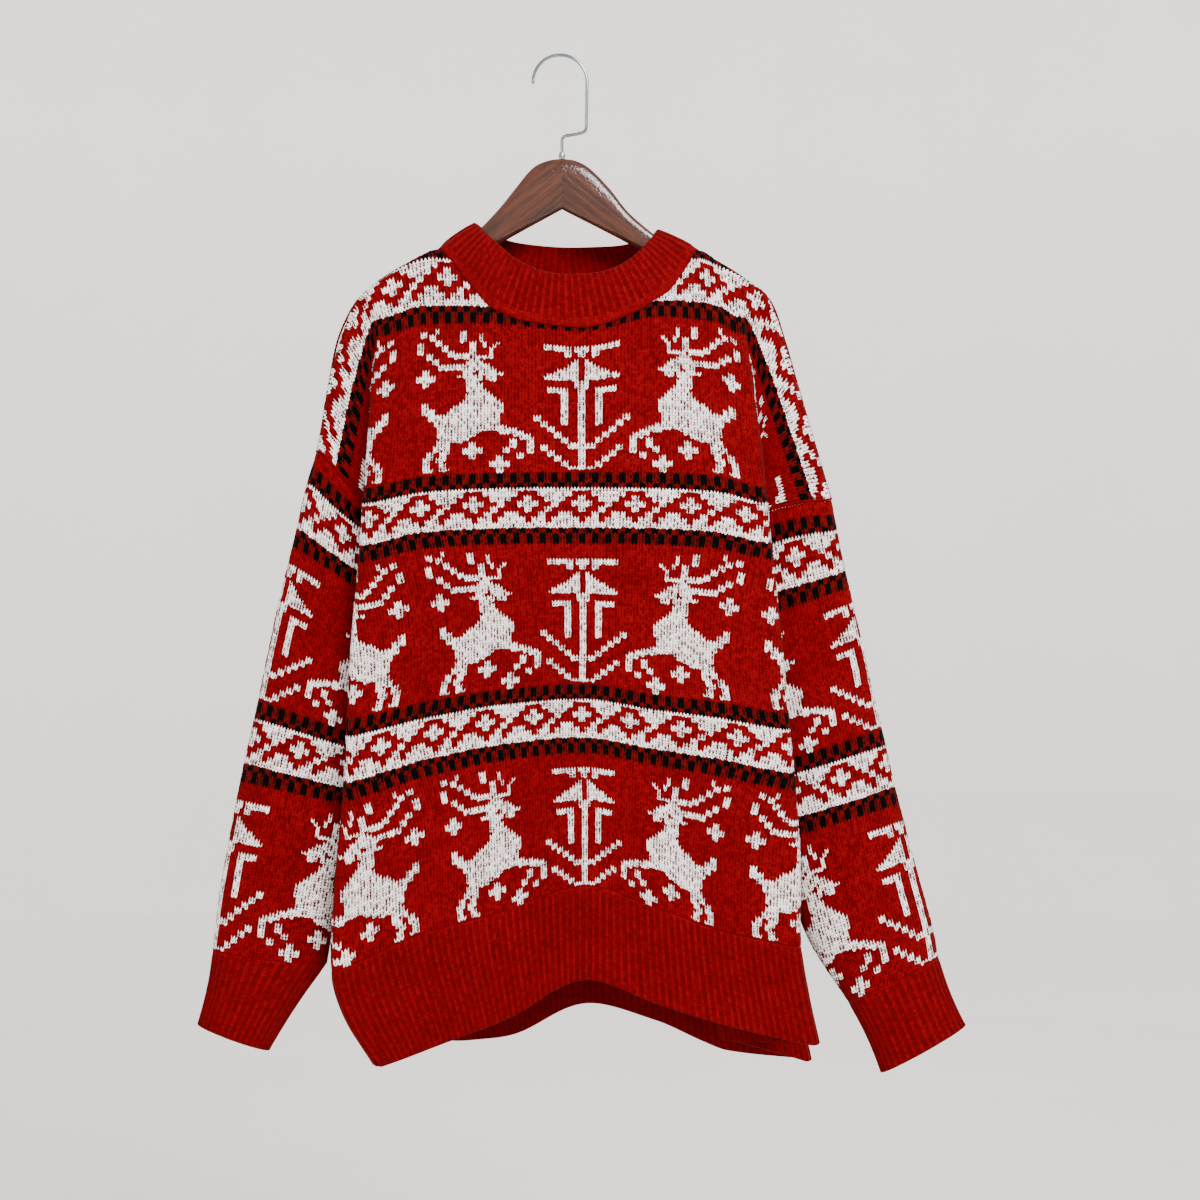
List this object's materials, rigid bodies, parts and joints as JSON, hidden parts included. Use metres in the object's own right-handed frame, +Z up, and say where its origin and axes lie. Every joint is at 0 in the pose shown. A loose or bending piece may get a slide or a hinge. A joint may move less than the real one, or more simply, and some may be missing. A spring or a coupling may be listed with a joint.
{
  "type": "christmas sweater on a hanger",
  "caption": "Knitted christmas sweater with a ribbed mock neck, dropped shoulders and patterned bands, hanging flat on a wooden clothes hanger with a bent wire hook.",
  "frame": {"origin": "inside top of the hook, at the middle of its wire's thickness, where a rail carries it", "axes": "+X to the viewer's right along the hanger, -Y towards the viewer out of the garment's front, +Z up"},
  "size_m": [0.6917, 0.104, 0.9168],
  "materials": {
    "knit": "matt, slightly fuzzy acrylic jacquard knit, red with white and black pattern",
    "rib": "matt red 1x1 rib knit",
    "wood": "dark glossy varnish",
    "steel": "bright plated wire"
  },
  "bodies": {
    "root": {"front": "knit", "back": "knit", "sleeve_left": "knit", "sleeve_right": "knit", "collar": "rib", "hem_front": "rib", "hem_back": "rib", "cuff_left": "rib", "cuff_right": "rib", "hanger_left": "wood", "hanger_right": "wood", "ferrule": "steel", "hook": "steel"}
  },
  "joints": []
}
